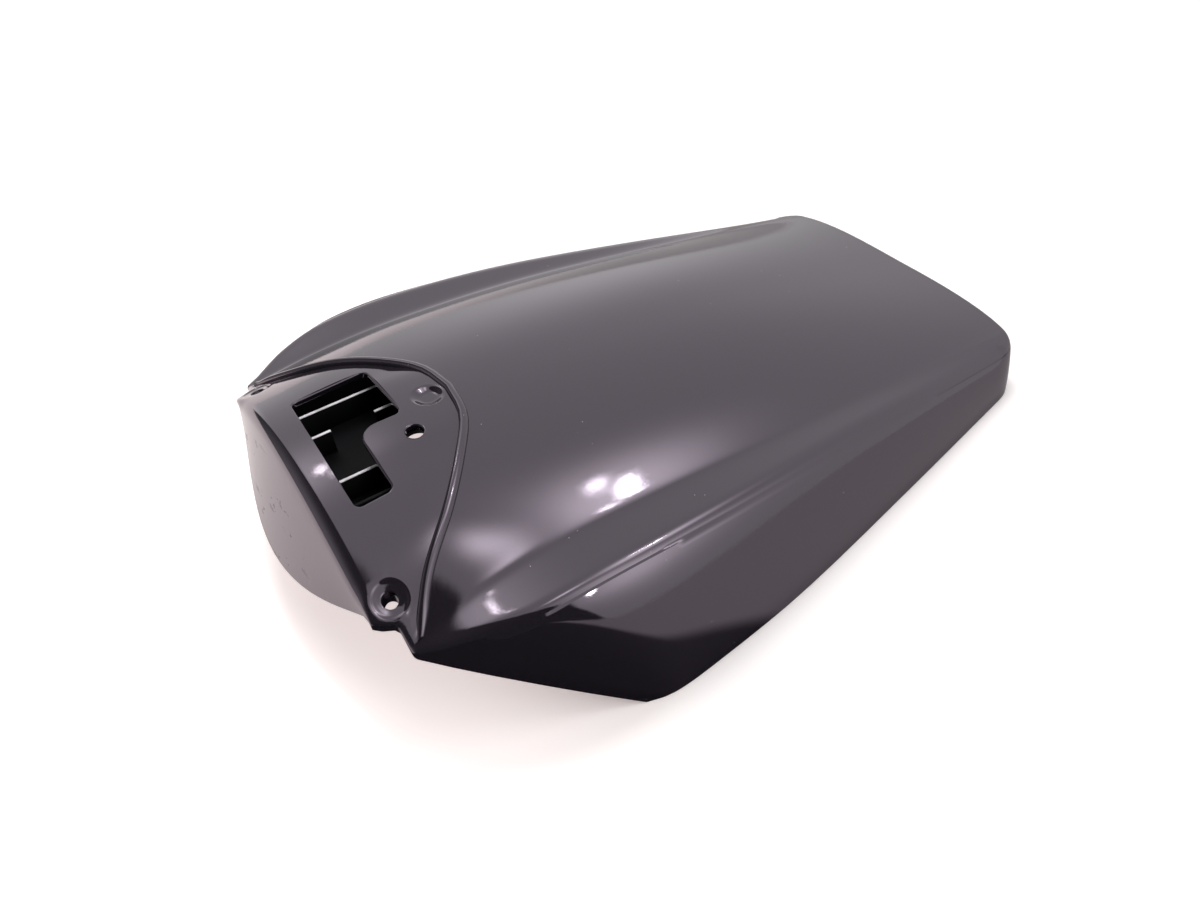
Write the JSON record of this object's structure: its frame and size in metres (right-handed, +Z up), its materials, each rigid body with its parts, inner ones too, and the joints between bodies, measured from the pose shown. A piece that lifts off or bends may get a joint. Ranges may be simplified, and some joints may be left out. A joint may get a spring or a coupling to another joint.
{
  "type": "motorcycle seat cowl",
  "caption": "Moulded gloss-black seat cowl with an arched dome, side shelves, a front panel with a window, screw seats and a low front wall, over a small ribbed inner base.",
  "frame": {"origin": "centre of the cowl's bounding box in plan, on the plane of the rim it rests on", "axes": "+X from the front wall to the tail, +Y to the far side of the picture, +Z up from the rim"},
  "size_m": [0.3854, 0.2924, 0.0776],
  "materials": {
    "outer_cover": "high gloss black with a slight purple cast, fine dust and hairline scratches",
    "inner_base": "matt black moulded plastic",
    "base_screws": "zinc plated"
  },
  "bodies": {
    "root": {"outer_cover": "outer_cover", "inner_base": "inner_base", "base_screws": "base_screws"}
  },
  "joints": []
}
